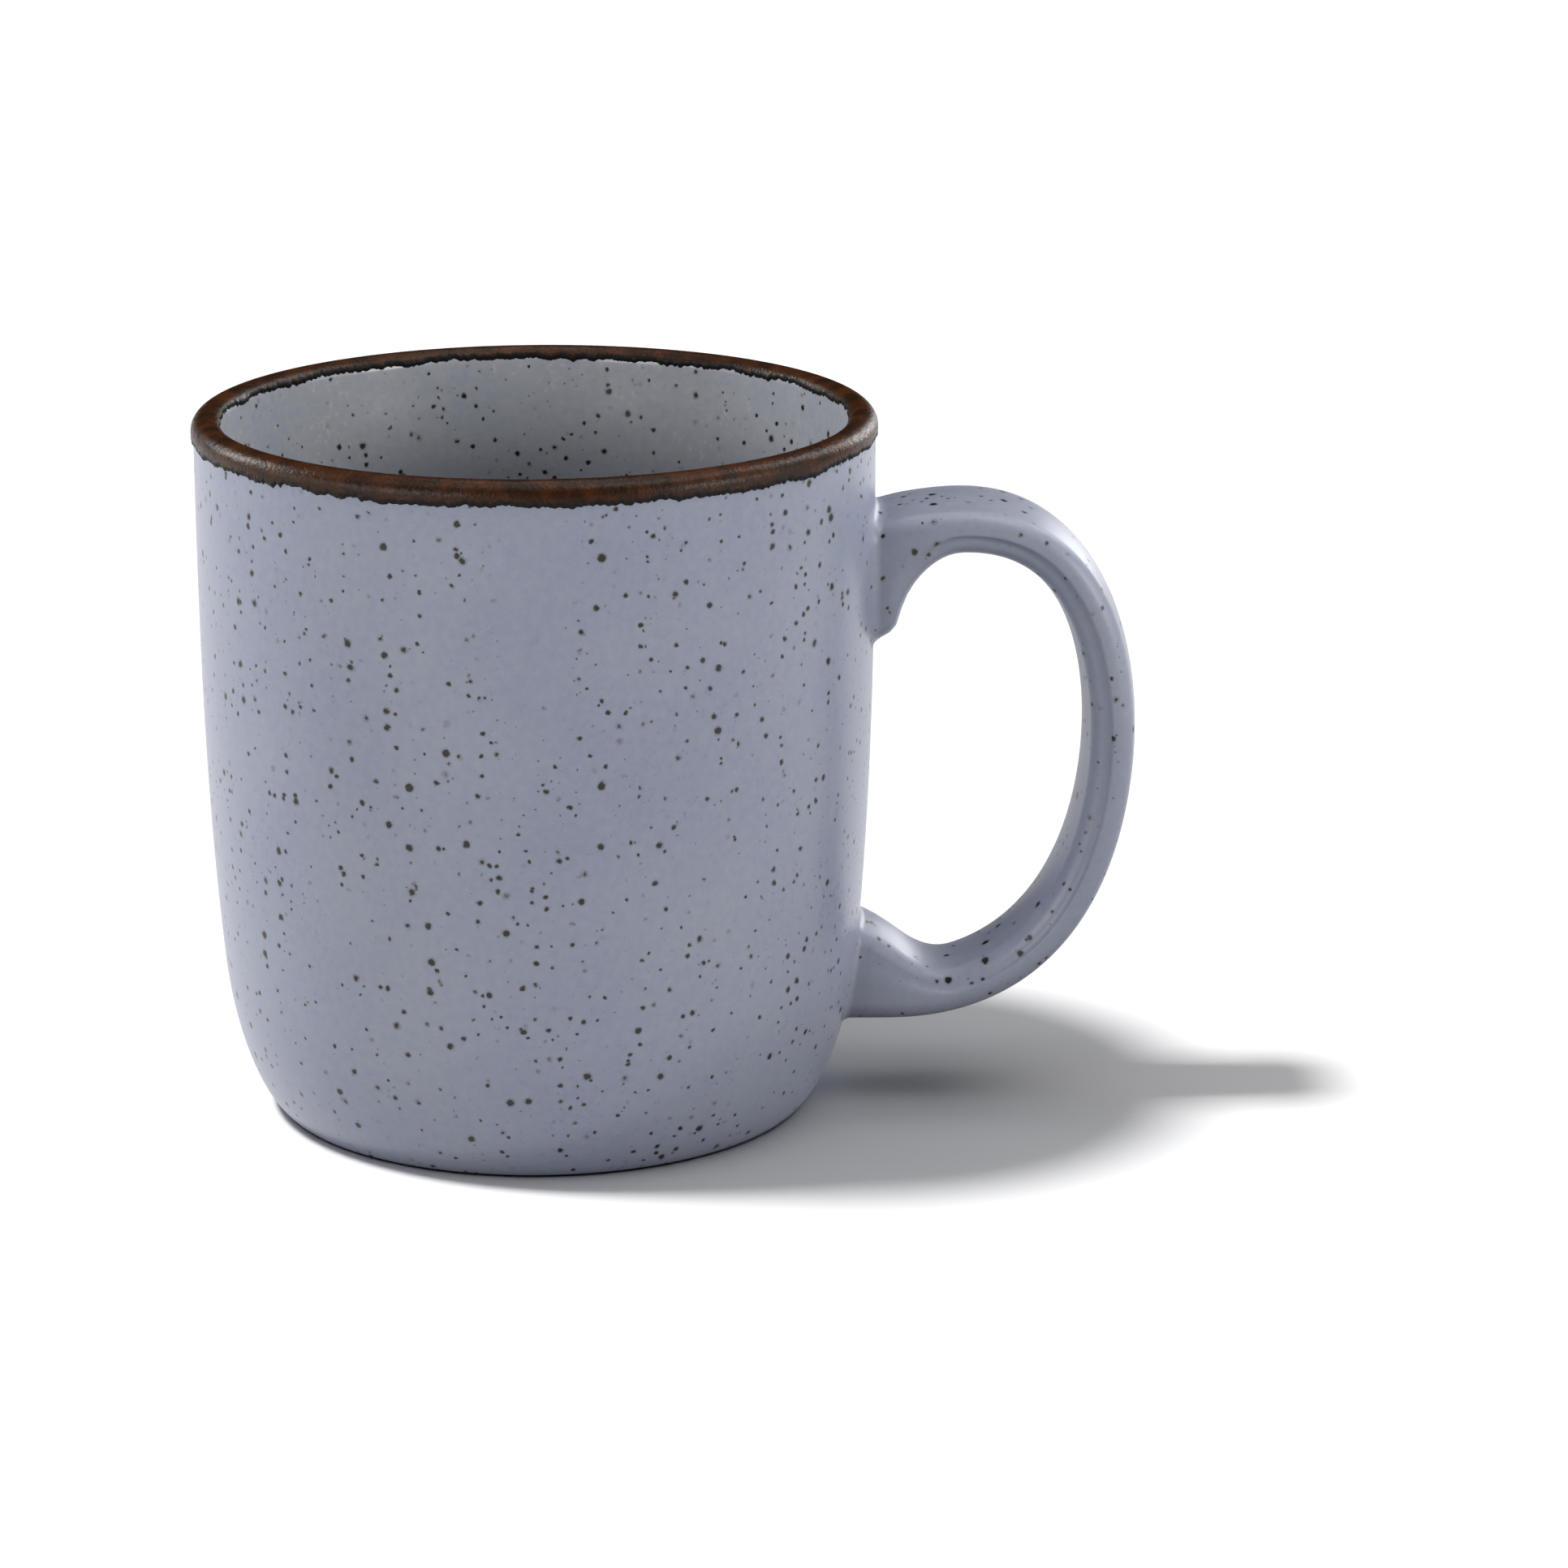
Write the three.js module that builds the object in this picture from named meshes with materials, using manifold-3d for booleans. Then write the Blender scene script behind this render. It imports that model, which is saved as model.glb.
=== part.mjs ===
// A stoneware mug: a thrown cup with a rounded foot and lip, a pulled strap handle
// joined to it with slip, and the coats of glaze that cover them.
// Millimetres, +Z up. The mug stands on z = 0 and the handle points along +X.
// The origin is under the middle of the whole mug, handle included.
import * as THREE from 'three';
import { mergeVertices } from 'three/addons/utils/BufferGeometryUtils.js';
import Module from 'manifold-3d';

// ---------------------------------------------------------------- driving dimensions
// Cup, bare clay
const clayHeight = 91.8;
const rimRadius = 43.5;          // outside of the lip
const wallDraw = 4.7;            // how far the wall draws in, from the rim to the foot
const cornerReach = 5.6;         // rounding between wall and foot, measured outwards
const cornerHeight = 20.5;       // the same rounding, measured upwards
const lipThickness = 2.4;
const wallThickness = 3.4;
const lipTaperLength = 14;       // below the lip, where the wall reaches its full thickness
const floorThickness = 4.4;
const insideCornerRadius = 13;

// Foot: a ring of bare clay around a shallow recess
const footRingWidth = 3.4;
const footRecessDepth = 1.5;
const footRecessRound = 1.2;

// Handle strap, bare clay
const crownWidth = 18;           // the strap is pulled narrower and thinner towards its foot
const lowestWidth = 14.5;
const crownThickness = 4.7;
const lowestThickness = 3.3;
const strapEdgeRound = 1.5;
const handleStandOff = 33.7;     // rim to the outermost point of the strap
const crownBelowRim = 11.9;      // top of the lip down to the crown of the strap
const widestBelowCrown = 29.9;   // crown down to the outermost point
const handleBottomZ = 11.7;      // lowest point of the strap
const crownFromWall = 12;        // crown to the outside of the wall
const lowestFromWall = 6;        // lowest point to the outside of the wall
const levelPull = 0.79;          // how squarely the strap bends, at its level ends
const uprightPull = 0.42;        // and at its upright middle
const upperRootDrop = 2.0;       // the strap's top side, from the crown down to the wall
const spurDepth = 14.6;          // upper root's thumb-smoothed spur, from the crown down
const spurReach = 2.2;           // spur tip to the wall
const lowerFlareHeight = 10.4;   // lower root, up the wall from the strap's lowest point
const lowerFlareReach = 11;      // where the lower root's flare starts, from the wall
const rootRound = 1.5;           // rounding of both roots against the wall

// Joints and coats
const slipThickness = 0.8;       // bed of slip between the wall and the handle's ends
const slipOverhang = 0.8;        // how far the bed spreads around the handle's section
const seam = 0.3;                // clearance at every cut or coped face
const glazeThickness = 0.4;
const glazeClearance = 0.1;      // between a coat and the clay that it follows
const bandDepthOutside = 3.0;    // iron glaze on the lip, down the outside
const bandDepthInside = 2.0;     // and down the inside
const glazeLineZ = 1.5;          // outer glaze stops here, above the bare foot

// Smoothness of the turned and swept shapes
const turnSegments = 36;
const outerWallSteps = 5;
const outerCornerSteps = 6;
const innerWallSteps = 5;
const insideCornerSteps = 4;
const lipSteps = 4;
const strapCurveSteps = 8;
const strapEdgeSteps = 2;

// ---------------------------------------------------------------- derived dimensions
const coat = glazeClearance + glazeThickness;
const lipRadius = lipThickness / 2;
const lipCentreZ = clayHeight - lipRadius;
const footRadius = rimRadius - wallDraw - cornerReach;
const footRingInner = footRadius - footRingWidth;
const floorZ = footRecessDepth + floorThickness;
const coped = seam + slipThickness + seam;
const handleTopZ = clayHeight - crownBelowRim;
const widestZ = handleTopZ - widestBelowCrown;
const handleReach = rimRadius + handleStandOff;   // from the cup's axis

const colours = {
  clay: '#a3917f',
  slip: '#97877a',
  blueGreyGlaze: '#8f93a1',
  paleGreyGlaze: '#84858f',
  ironGlaze: '#3f2114',
};

// ---------------------------------------------------------------- the cup's outlines
const point = (radius, z) => new THREE.Vector2(radius, z);
const range = (count, from, to) =>
  Array.from({ length: count + 1 }, (_, i) => from + ((to - from) * i) / count);

// The outside leans in slowly from the rim, then rounds under on a quarter ellipse.
function outerRadius(z) {
  const wall = rimRadius - wallDraw * (1 - z / clayHeight) ** 3;
  const below = THREE.MathUtils.clamp(1 - z / cornerHeight, 0, 1);
  return wall - cornerReach * (1 - Math.sqrt(1 - below ** 2));
}

function innerRadius(z) {
  const down = THREE.MathUtils.smoothstep(lipCentreZ - z, 0, lipTaperLength);
  return outerRadius(z) - THREE.MathUtils.lerp(lipThickness, wallThickness, down);
}

// Outside of the clay from one height up to another. The heights crowd together
// towards the foot, where the outline turns fastest.
function outside(fromZ, toZ) {
  const lowest = Math.asin(1 - fromZ / cornerHeight);
  const corner = range(outerCornerSteps, lowest, 0).map((a) => cornerHeight * (1 - Math.sin(a)));
  const wall = range(outerWallSteps, cornerHeight, toZ).slice(1);
  return [...corner, ...wall].map((z) => point(outerRadius(z), z));
}

function lip() {
  const centre = rimRadius - lipRadius;
  return range(lipSteps, 0, Math.PI).map((a) =>
    point(centre + lipRadius * Math.cos(a), lipCentreZ + lipRadius * Math.sin(a)));
}

// Inside of the clay, from a height down the wall, round the corner and to the floor's edge
function inside(fromZ) {
  const cornerTopZ = floorZ + insideCornerRadius;
  const centre = innerRadius(cornerTopZ) - insideCornerRadius;
  const wall = range(innerWallSteps, fromZ, cornerTopZ).map((z) => point(innerRadius(z), z));
  const corner = range(insideCornerSteps, 0, Math.PI / 2).slice(1).map((a) =>
    point(centre + insideCornerRadius * Math.cos(a), cornerTopZ - insideCornerRadius * Math.sin(a)));
  return [...wall, ...corner];
}

// Moves every point of an outline off its surface, to the right of its direction of travel
function offsetOutline(points, distance) {
  return points.map((p, i) => {
    const before = points[Math.max(i - 1, 0)];
    const after = points[Math.min(i + 1, points.length - 1)];
    const along = after.clone().sub(before).normalize();
    return point(p.x + along.y * distance, p.y - along.x * distance);
  });
}

// ---------------------------------------------------------------- solids
// Turns a closed outline about the mug's axis
function turned(outline, closeLoop) {
  const points = closeLoop ? [...outline, outline[0].clone()] : outline;
  const geometry = new THREE.LatheGeometry(points, turnSegments);
  geometry.rotateX(Math.PI / 2);
  geometry.rotateZ(Math.PI / 2);
  return geometry;
}

// A coat that follows a surface, between two distances from it
function coatOutline(surface, near, far) {
  return [...offsetOutline(surface, far), ...offsetOutline(surface, near).reverse()];
}

const wasm = await Module();
wasm.setup();

function toSolid(geometry) {
  const bare = geometry.clone();
  bare.deleteAttribute('normal');
  bare.deleteAttribute('uv');
  const merged = mergeVertices(bare, 1e-4);
  return new wasm.Manifold(new wasm.Mesh({
    numProp: 3,
    vertProperties: new Float32Array(merged.attributes.position.array),
    triVerts: new Uint32Array(merged.index.array),
  }));
}

function toGeometry(solid) {
  const mesh = solid.getMesh();
  const geometry = new THREE.BufferGeometry();
  geometry.setAttribute('position', new THREE.BufferAttribute(new Float32Array(mesh.vertProperties), 3));
  geometry.setIndex(new THREE.BufferAttribute(new Uint32Array(mesh.triVerts), 1));
  geometry.computeVertexNormals();
  return geometry;
}

// The cup filled solid and swollen by a distance, used to cope what meets its wall
function filledCup(distance) {
  const wall = offsetOutline(outside(0, lipCentreZ), distance);
  const top = wall[wall.length - 1];
  const foot = wall[0];
  return toSolid(turned([point(0, foot.y), ...wall, point(0, top.y)]));
}

// ---------------------------------------------------------------- the cup and its coats
function cupBody() {
  const footEdge = footRingInner - footRecessRound;
  const outline = [
    point(0, footRecessDepth),
    point(footEdge, footRecessDepth),
    point(footRingInner, 0),
    ...outside(0, lipCentreZ),
    ...lip().slice(1),
    ...inside(lipCentreZ).slice(1),
    point(0, floorZ),
  ];
  return turned(outline);
}

function outerGlaze(windows) {
  const skin = outside(glazeLineZ, clayHeight - bandDepthOutside - seam);
  const shell = toSolid(turned(coatOutline(skin, glazeClearance, coat), true));
  return toGeometry(shell.subtract(windows));
}

function innerGlaze() {
  const skin = [...inside(clayHeight - bandDepthInside - seam), point(0, floorZ)];
  const air = offsetOutline(skin, coat);
  const back = offsetOutline(skin, glazeClearance);
  return turned([...back.reverse(), ...air]);
}

function rimGlazeBand() {
  const skin = [
    point(outerRadius(clayHeight - bandDepthOutside), clayHeight - bandDepthOutside),
    ...lip(),
    point(innerRadius(clayHeight - bandDepthInside), clayHeight - bandDepthInside),
  ];
  return turned(coatOutline(skin, glazeClearance, coat), true);
}

function baseGlaze() {
  const radius = footRingInner - footRecessRound - seam;
  const low = footRecessDepth - coat;
  const high = footRecessDepth - glazeClearance;
  return turned([point(0, low), point(radius, low), point(radius, high), point(0, high)]);
}

// ---------------------------------------------------------------- the handle
// Side view of the strap. The outer line runs from the crown round to the lowest point,
// the hole follows it at the strap's thickness, and both roots spread where they meet the
// wall. The ends run on into the wall, where the cope cuts them off.
function strapOutline() {
  const upperWall = outerRadius(handleTopZ);
  const lowerWall = outerRadius(handleBottomZ);
  const buried = footRadius;
  const crown = point(upperWall + crownFromWall, handleTopZ);
  const widest = point(handleReach, widestZ);
  const lowest = point(lowerWall + lowestFromWall, handleBottomZ);
  const bend = (level, upright) => new THREE.CubicBezierCurve(
    level, point(THREE.MathUtils.lerp(level.x, upright.x, levelPull), level.y),
    point(upright.x, THREE.MathUtils.lerp(upright.y, level.y, uprightPull)), upright);
  const outer = [
    ...bend(crown, widest).getPoints(strapCurveSteps),
    ...bend(lowest, widest).getPoints(strapCurveSteps).reverse().slice(1),
  ];

  const flareStart = lowerWall + lowerFlareReach;
  const thin = offsetOutline(outer, lowestThickness);
  const hole = offsetOutline(outer, crownThickness)
    .map((p, i) => p.lerp(thin[i], i / (outer.length - 1)))
    .filter((p) => p.y > widestZ || p.x > flareStart)
    .reverse();
  const flare = hole[0];
  const underCrown = hole[hole.length - 1];
  const spurTip = point(upperWall + spurReach, handleTopZ - spurDepth);
  const flareTop = point(lowerWall + rootRound, handleBottomZ + lowerFlareHeight);

  const outline = new THREE.Shape();
  outline.moveTo(buried, handleTopZ - upperRootDrop);
  outline.lineTo(upperWall, handleTopZ - upperRootDrop);
  outline.quadraticCurveTo((upperWall + crown.x) / 2, handleTopZ, crown.x, handleTopZ);
  outer.slice(1).forEach((p) => outline.lineTo(p.x, p.y));
  outline.lineTo(buried, handleBottomZ);
  outline.lineTo(buried, flareTop.y);
  outline.lineTo(flareTop.x, flareTop.y);
  outline.bezierCurveTo(
    flareTop.x + 2 * rootRound, flareTop.y - rootRound,
    flare.x - lowerFlareReach / 2, flare.y - rootRound / 4,
    flare.x, flare.y);
  hole.slice(1).forEach((p) => outline.lineTo(p.x, p.y));
  outline.bezierCurveTo(
    underCrown.x - crownFromWall / 3, underCrown.y,
    spurTip.x + 2 * rootRound, spurTip.y + spurDepth / 2,
    spurTip.x, spurTip.y);
  outline.lineTo(buried, spurTip.y - rootRound);
  outline.closePath();
  return outline;
}

// The strap swollen all round by a distance: extruded at the crown's width, with rounded
// edges, then drawn in sideways towards its lowest point
function strap(distance) {
  const geometry = new THREE.ExtrudeGeometry(strapOutline(), {
    depth: crownWidth - 2 * strapEdgeRound + 2 * distance,
    curveSegments: strapCurveSteps,
    bevelEnabled: true,
    bevelSegments: strapEdgeSteps,
    bevelThickness: strapEdgeRound,
    bevelSize: strapEdgeRound,
    bevelOffset: distance - strapEdgeRound,
  });
  geometry.translate(0, 0, strapEdgeRound - crownWidth / 2 - distance);
  geometry.rotateX(Math.PI / 2);
  const position = geometry.attributes.position;
  for (let i = 0; i < position.count; i += 1) {
    const height = THREE.MathUtils.inverseLerp(handleBottomZ, handleTopZ, position.getZ(i));
    const share = THREE.MathUtils.lerp(lowestWidth / crownWidth, 1, height);
    position.setY(i, position.getY(i) * share);
  }
  return toSolid(geometry);
}

const copedCup = filledCup(coped);

function handleStrap() {
  return toGeometry(strap(0).subtract(copedCup));
}

function handleGlaze() {
  const sleeve = strap(coat).subtract(strap(glazeClearance));
  return toGeometry(sleeve.subtract(copedCup));
}

// Where the strap meets the wall, the bed of slip under each end: lower one first
function slipBeds() {
  const bed = filledCup(seam + slipThickness).subtract(filledCup(seam));
  const pieces = bed.intersect(strap(slipOverhang)).decompose();
  pieces.sort((a, b) => a.boundingBox().min[2] - b.boundingBox().min[2]);
  return [pieces[0], pieces[pieces.length - 1]].map(toGeometry);
}

// ---------------------------------------------------------------- assembly
const mug = new THREE.Group();

function addPiece(name, geometry, colour, roughness) {
  const material = new THREE.MeshStandardMaterial({ color: colour, roughness, metalness: 0 });
  const mesh = new THREE.Mesh(geometry, material);
  mesh.name = name;
  mug.add(mesh);
}

const [lowerBed, upperBed] = slipBeds();
addPiece('cup_body', cupBody(), colours.clay, 0.9);
addPiece('handle_strap', handleStrap(), colours.clay, 0.9);
addPiece('upper_slip_joint', upperBed, colours.slip, 0.95);
addPiece('lower_slip_joint', lowerBed, colours.slip, 0.95);
addPiece('outer_glaze', outerGlaze(strap(slipOverhang + seam)), colours.blueGreyGlaze, 0.4);
addPiece('handle_glaze', handleGlaze(), colours.blueGreyGlaze, 0.4);
addPiece('rim_glaze_band', rimGlazeBand(), colours.ironGlaze, 0.3);
addPiece('inner_glaze', innerGlaze(), colours.paleGreyGlaze, 0.35);
addPiece('base_glaze', baseGlaze(), colours.blueGreyGlaze, 0.4);

// The origin moves from the cup's axis to the middle of cup and handle together
mug.position.x = (rimRadius - handleReach) / 2;

const group = new THREE.Group();
group.add(mug);
export default group;
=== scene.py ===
# %% [markdown]
# # A speckled stoneware mug
# A thrown cup, a pulled strap handle, and the coats of glaze that cover them: a satin
# blue-grey one full of iron flecks, and a band of brown iron glaze on the lip. This
# lesson builds each of them round a fixed frame, the mug's engineering model, so every
# piece lands where that model says, and no piece has to be fitted by eye.

# %% The frame
import math
from collections import namedtuple

import bmesh
import bpy
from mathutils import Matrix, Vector


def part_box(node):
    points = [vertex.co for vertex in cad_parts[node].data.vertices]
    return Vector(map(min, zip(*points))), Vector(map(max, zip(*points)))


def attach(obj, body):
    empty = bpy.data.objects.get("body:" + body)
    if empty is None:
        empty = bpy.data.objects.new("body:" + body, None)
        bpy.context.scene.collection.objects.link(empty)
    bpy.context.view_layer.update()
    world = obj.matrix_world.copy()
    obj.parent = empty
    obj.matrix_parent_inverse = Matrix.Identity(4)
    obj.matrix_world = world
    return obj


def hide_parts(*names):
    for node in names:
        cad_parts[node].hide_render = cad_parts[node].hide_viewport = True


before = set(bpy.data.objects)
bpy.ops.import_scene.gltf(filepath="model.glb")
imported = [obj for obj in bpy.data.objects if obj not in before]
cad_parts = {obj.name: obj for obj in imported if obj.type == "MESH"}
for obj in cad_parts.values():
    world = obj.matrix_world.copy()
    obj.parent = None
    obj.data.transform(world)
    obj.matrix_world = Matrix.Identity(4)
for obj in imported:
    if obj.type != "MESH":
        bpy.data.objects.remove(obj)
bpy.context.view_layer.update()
MM = 0.001
cup_low, cup_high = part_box("cup_body")
axis_x = (cup_low.x + cup_high.x) / 2
print(f"cup axis at x = {axis_x / MM:.2f} mm, clay {cup_high.z / MM:.1f} mm tall")

# %% [markdown]
# ## The sizes
# The frame's boxes give the overall sizes. What they can't give, such as how the wall
# curves or how thick the lip is, is named here in millimetres, once. Everything below
# is worked out from these values, so one change carries through every coat.

# %% Sizes of the cup
clay_height = cup_high.z / MM
rim_radius = (cup_high.y - cup_low.y) / 2 / MM
wall_draw = 4.7
corner_reach = 5.6
corner_height = 20.5
lip_thickness = 2.4
wall_thickness = 3.4
lip_taper_length = 14.0
floor_thickness = 4.4
inside_corner_radius = 13.0
foot_ring_width = 3.4
foot_recess_depth = 1.5
foot_round = 0.7
glaze_line = 0.65
glaze_clearance = 0.1
coat = 0.5
lip_radius = lip_thickness / 2
lip_centre_z = clay_height - lip_radius
foot_radius = rim_radius - wall_draw - corner_reach
floor_z = foot_recess_depth + floor_thickness
print(f"rim radius {rim_radius:.1f} mm, foot radius {foot_radius:.1f} mm")


# %% [markdown]
# ## The cup's outline
# A cup thrown on a wheel is one outline turned about its axis. The outside leans in
# slowly from the rim and rounds under on a quarter ellipse. The inside follows it at the
# wall's thickness and turns onto the floor on a quarter circle, and the lip is a half
# circle. Each part is a small function, so that a coat of glaze can be the same outline
# moved outwards by the coat's thickness.

# %% The outline's functions
def blend(low, high, share):
    return low + (high - low) * share


def clamp(value, low=0.0, high=1.0):
    return min(max(value, low), high)


def eased(share):
    return share * share * (3 - 2 * share)


def steps(count, low, high):
    return [blend(low, high, i / count) for i in range(count + 1)]


def outer_radius(z):
    wall = rim_radius - wall_draw * (1 - z / clay_height) ** 3
    below = clamp(1 - z / corner_height)
    return wall - corner_reach * (1 - math.sqrt(1 - below * below))


def inner_radius(z):
    down = eased(clamp((lip_centre_z - z) / lip_taper_length))
    return outer_radius(z) - blend(lip_thickness, wall_thickness, down)


def outside(low, high, corner_steps=40, wall_steps=60):
    start = math.asin(clamp(1 - low / corner_height))
    corner = [corner_height * (1 - math.sin(a)) for a in steps(corner_steps, start, 0)]
    wall = steps(wall_steps, corner_height, high)[1:]
    return [(outer_radius(z), z) for z in corner + wall]


def lip(start=0.0, end=math.pi, count=24):
    centre = rim_radius - lip_radius
    return [
        (centre + lip_radius * math.cos(a), lip_centre_z + lip_radius * math.sin(a))
        for a in steps(count, start, end)
    ]


def inside(high, wall_steps=60, corner_steps=24):
    corner_top = floor_z + inside_corner_radius
    centre = inner_radius(corner_top) - inside_corner_radius
    wall = [(inner_radius(z), z) for z in steps(wall_steps, high, corner_top)]
    corner = [
        (
            centre + inside_corner_radius * math.cos(a),
            corner_top - inside_corner_radius * math.sin(a),
        )
        for a in steps(corner_steps, 0, math.pi / 2)
    ]
    return wall + corner[1:]


def moved_off(points, distance):
    """An outline moved to the right of its direction of travel, as a coat of glaze is."""
    made = []
    for i, (x, z) in enumerate(points):
        before = points[max(i - 1, 0)]
        after = points[min(i + 1, len(points) - 1)]
        along = Vector((after[0] - before[0], after[1] - before[1])).normalized()
        made.append((x + along.y * distance, z - along.x * distance))
    return made


wall_lean = outer_radius(clay_height) - outer_radius(corner_height)
print(f"wall leans in {wall_lean:.1f} mm")

# %% [markdown]
# ## Helpers for node trees
# Geometry Nodes and shader trees are both made of nodes whose sockets are set or linked.
# A few short helpers keep the trees below readable. One adds a node and feeds its sockets,
# others do the same for sums, vectors, noise and colours, so that a formula reads from the
# inside out, and the last one opens a new group with named sockets.


# %% Node helpers
def feed(tree, socket, value):
    """Links value into socket if it is another socket, and otherwise sets it."""
    if isinstance(value, bpy.types.NodeSocket):
        tree.links.new(value, socket)
    elif value is not None:
        socket.default_value = value


def add(tree, kind, values=None, **settings):
    """Adds a node, with its settings, and feeds the sockets named or numbered in values."""
    made = tree.nodes.new(kind)
    for name, value in settings.items():
        setattr(made, name, value)
    for key, value in (values or {}).items():
        feed(tree, made.inputs[key], value)
    return made


def calc(tree, operation, *values, clamped=False):
    made = add(tree, "ShaderNodeMath", operation=operation, use_clamp=clamped)
    for socket, value in zip(made.inputs, values):
        feed(tree, socket, value)
    return made.outputs[0]


def plus(tree, first, second):
    return calc(tree, "ADD", first, second)


def minus(tree, first, second):
    return calc(tree, "SUBTRACT", first, second)


def times(tree, first, second):
    return calc(tree, "MULTIPLY", first, second)


def vec(tree, operation, *values):
    """A Vector Math node. A length, distance or dot product comes out as a value."""
    made = add(tree, "ShaderNodeVectorMath", operation=operation)
    for socket, value in zip(made.inputs, values):
        feed(tree, socket, value)
    single = operation in ("LENGTH", "DISTANCE", "DOT_PRODUCT")
    return made.outputs["Value" if single else "Vector"]


def scaled(tree, vector, factor):
    values = {"Vector": vector, "Scale": factor}
    return add(tree, "ShaderNodeVectorMath", values, operation="SCALE").outputs["Vector"]


def joined(tree, x, y, z):
    return add(tree, "ShaderNodeCombineXYZ", {"X": x, "Y": y, "Z": z}).outputs[0]


def ramp(tree, value, low, high, to_low=0.0, to_high=1.0):
    """Smoothly maps value from low..high to to_low..to_high, and stops at both ends."""
    values = {"Value": value, "From Min": low, "From Max": high, "To Min": to_low, "To Max": to_high}
    return add(tree, "ShaderNodeMapRange", values, interpolation_type="SMOOTHSTEP").outputs["Result"]


def noise(tree, place, per_mm, detail):
    """Smooth random values round a half, with per_mm of them along a millimetre."""
    values = {"Vector": place, "Scale": per_mm / MM, "Detail": detail}
    return add(tree, "ShaderNodeTexNoise", values).outputs["Fac"]


def mixed_colour(tree, share, first, second):
    made = add(tree, "ShaderNodeMix", data_type="RGBA")
    for socket, value in ((0, share), (6, first), (7, second)):
        feed(tree, made.inputs[socket], value)
    return made.outputs[2]


def new_tree(name, kind, inputs, outputs):
    """A node group with named sockets, each with its type's name or its default number."""
    tree = bpy.data.node_groups.new(name, kind)
    for direction, sockets in (("INPUT", inputs), ("OUTPUT", outputs)):
        for label, value in sockets.items():
            plain = isinstance(value, str)
            socket_type = "NodeSocket" + (value if plain else type(value).__name__.title())
            made = tree.interface.new_socket(label, in_out=direction, socket_type=socket_type)
            if not plain:
                made.default_value = value
    return tree, tree.nodes.new("NodeGroupInput"), tree.nodes.new("NodeGroupOutput")


print("node helpers ready")


# %% [markdown]
# ## From a tree to a plain mesh
# A modifier is a recipe, and the finished mug should hold plain meshes. So each piece
# starts as a line of points, gets its tree, is evaluated once, and the result is copied
# into an ordinary object. A closed shell with a negative volume is inside out, so its
# faces are turned round.


# %% Lines in, meshes out
def new_object(name, data):
    made = bpy.data.objects.new(name, data)
    bpy.context.scene.collection.objects.link(made)
    return made


def line_object(name, points, **values):
    """A chain of points joined by edges, with named values or vectors stored on them."""
    mesh = bpy.data.meshes.new(name)
    mesh.from_pydata(points, [(i, i + 1) for i in range(len(points) - 1)], [])
    for label, data in values.items():
        is_vector = hasattr(data[0], "__len__")
        kind = "FLOAT_VECTOR" if is_vector else "FLOAT"
        attribute = mesh.attributes.new(label, kind, "POINT")
        flat = [x for v in data for x in v] if is_vector else list(data)
        attribute.data.foreach_set("vector" if is_vector else "value", flat)
    return new_object(name, mesh)


def outline_object(name, points, **values):
    return line_object(name, [(x * MM, 0, z * MM) for x, z in points], **values)


def grown(name, start, tree, close_ends=False, **inputs):
    """Runs a Geometry Nodes tree on start, and returns the result as a plain mesh object."""
    modifier = start.modifiers.new("shape", "NODES")
    modifier.node_group = tree
    for socket in tree.interface.items_tree:
        label = socket.name.replace(" ", "_").lower()
        if socket.in_out == "INPUT" and label in inputs:
            modifier[socket.identifier] = inputs[label]
    bpy.context.view_layer.update()
    graph = bpy.context.evaluated_depsgraph_get()
    mesh = bpy.data.meshes.new_from_object(start.evaluated_get(graph))
    bpy.data.objects.remove(start)
    shape = bmesh.new()
    shape.from_mesh(mesh)
    bmesh.ops.delete(shape, geom=[e for e in shape.edges if not e.link_faces], context="EDGES")
    if close_ends:
        bmesh.ops.holes_fill(shape, edges=shape.edges, sides=0)
    if shape.calc_volume(signed=True) < 0:
        bmesh.ops.reverse_faces(shape, faces=shape.faces)
    open_edges = sum(1 for e in shape.edges if len(e.link_faces) != 2)
    shape.to_mesh(mesh)
    shape.free()
    mesh.name = name
    print(f"{name}: {len(mesh.polygons)} faces, {open_edges} open edges")
    return new_object(name, mesh)


print("mesh helpers ready")


# %% [markdown]
# ## The camera, the floor and the light
# The camera looks down at the mug from a little above its rim. The mug stands on a plain
# pale sheet, which looks nearly white to the camera and in the glaze but sends only some
# of its light back up, as a sheet does that ends just outside the view. Soft boxes stand
# round the mug and light it alone. The sheet has two lights of its own, an even one from
# above and a soft sun high on the left, so the depth of the shadow, which falls to the
# right, doesn't depend on how the mug is lit.


# %% The camera
def facing(way):
    """The rotation that points a camera or a light that way."""
    return way.to_track_quat("-Z", "Y").to_euler()


camera_offset = Vector((8.57, -675.6, 233.56)) * MM
camera_heading = math.radians(88.0)
camera_pitch = math.radians(15.83)
camera_data = bpy.data.cameras.new("camera")
camera_data.sensor_width = 36.0
camera_data.lens = 122.29
camera = new_object("camera", camera_data)
bpy.context.scene.camera = camera
camera.location = Vector((axis_x, 0, 0)) + camera_offset
sight = Vector(
    (
        math.cos(camera_heading) * math.cos(camera_pitch),
        math.sin(camera_heading) * math.cos(camera_pitch),
        -math.sin(camera_pitch),
    )
)
camera.rotation_euler = facing(sight)
bpy.context.scene.view_settings.view_transform = "Standard"
print("camera", [round(x, 3) for x in camera.location])

# %% The floor
floor_size = 8.0
floor_bounce = 0.22
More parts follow.
